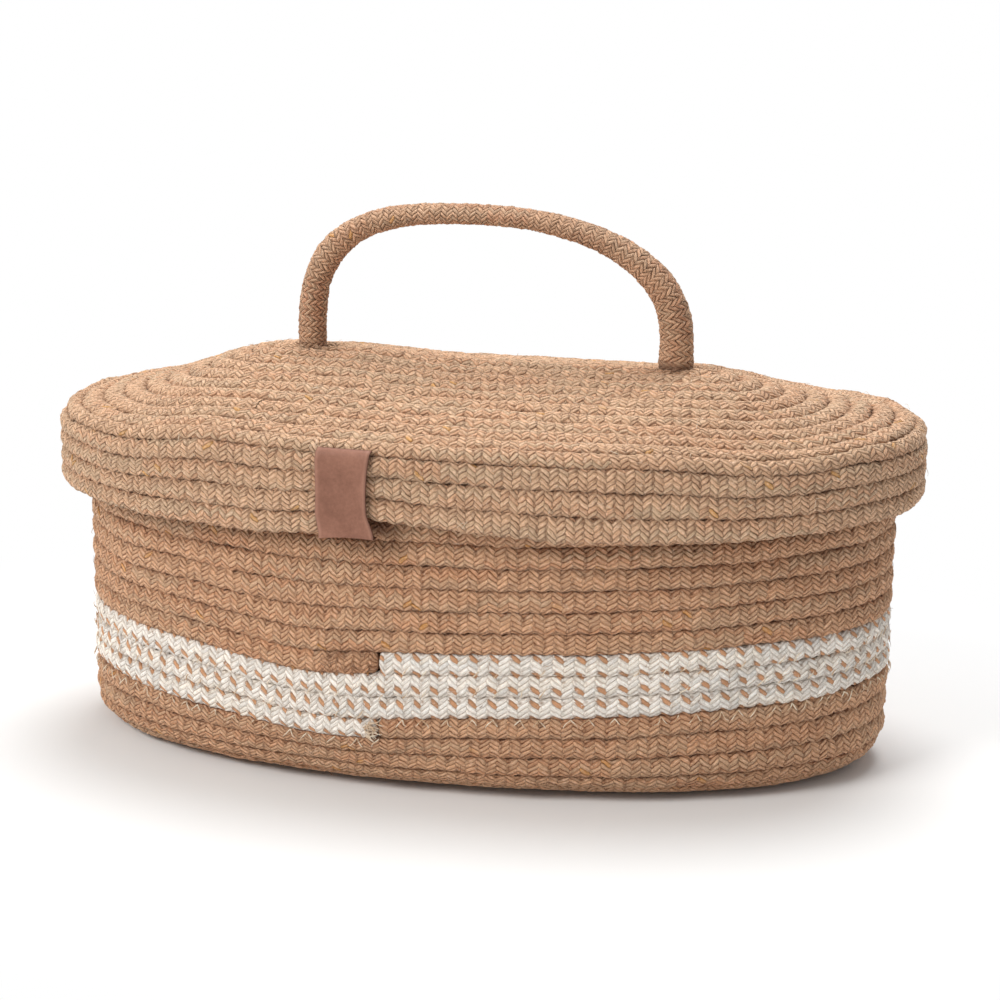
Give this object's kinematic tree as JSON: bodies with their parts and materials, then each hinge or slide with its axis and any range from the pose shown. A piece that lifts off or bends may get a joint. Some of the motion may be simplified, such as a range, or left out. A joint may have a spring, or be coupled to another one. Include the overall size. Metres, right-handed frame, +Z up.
{
  "type": "knitting basket",
  "caption": "Oval basket of coiled braided rope with a white band, a lift-off lid with a rope handle and a leather tag.",
  "frame": {"origin": "centre of the underside's rectangle, on the surface that the basket stands on", "axes": "+Z up, +X along the long side, -Y the front with the leather tag"},
  "size_m": [0.377, 0.1962, 0.2335],
  "materials": {
    "natural_rope": "matte braided natural fibre",
    "white_rope": "matte braided cotton with tan flecks",
    "leather": "smooth matte leather"
  },
  "bodies": {
    "basket": {"base_rope": "natural_rope", "band_rope": "white_rope", "upper_rope": "natural_rope"},
    "lid": {"lid_rope": "natural_rope", "handle_tail_left": "natural_rope", "handle_tail_right": "natural_rope", "leather_tag": "leather"},
    "handle": {"handle_cord": "natural_rope"}
  },
  "joints": [
    {"name": "lid_lift", "type": "slide", "parent": "basket", "child": "lid", "axis": [0, 0, 1], "range_m": [0, 0.12]},
    {"name": "handle_tilt", "type": "hinge", "parent": "lid", "child": "handle", "pos_m": [0, 0, 0.17716], "axis": [1, 0, 0], "range_deg": [-70, 70], "stiffness_Nm_per_rad": 0.2}
  ]
}
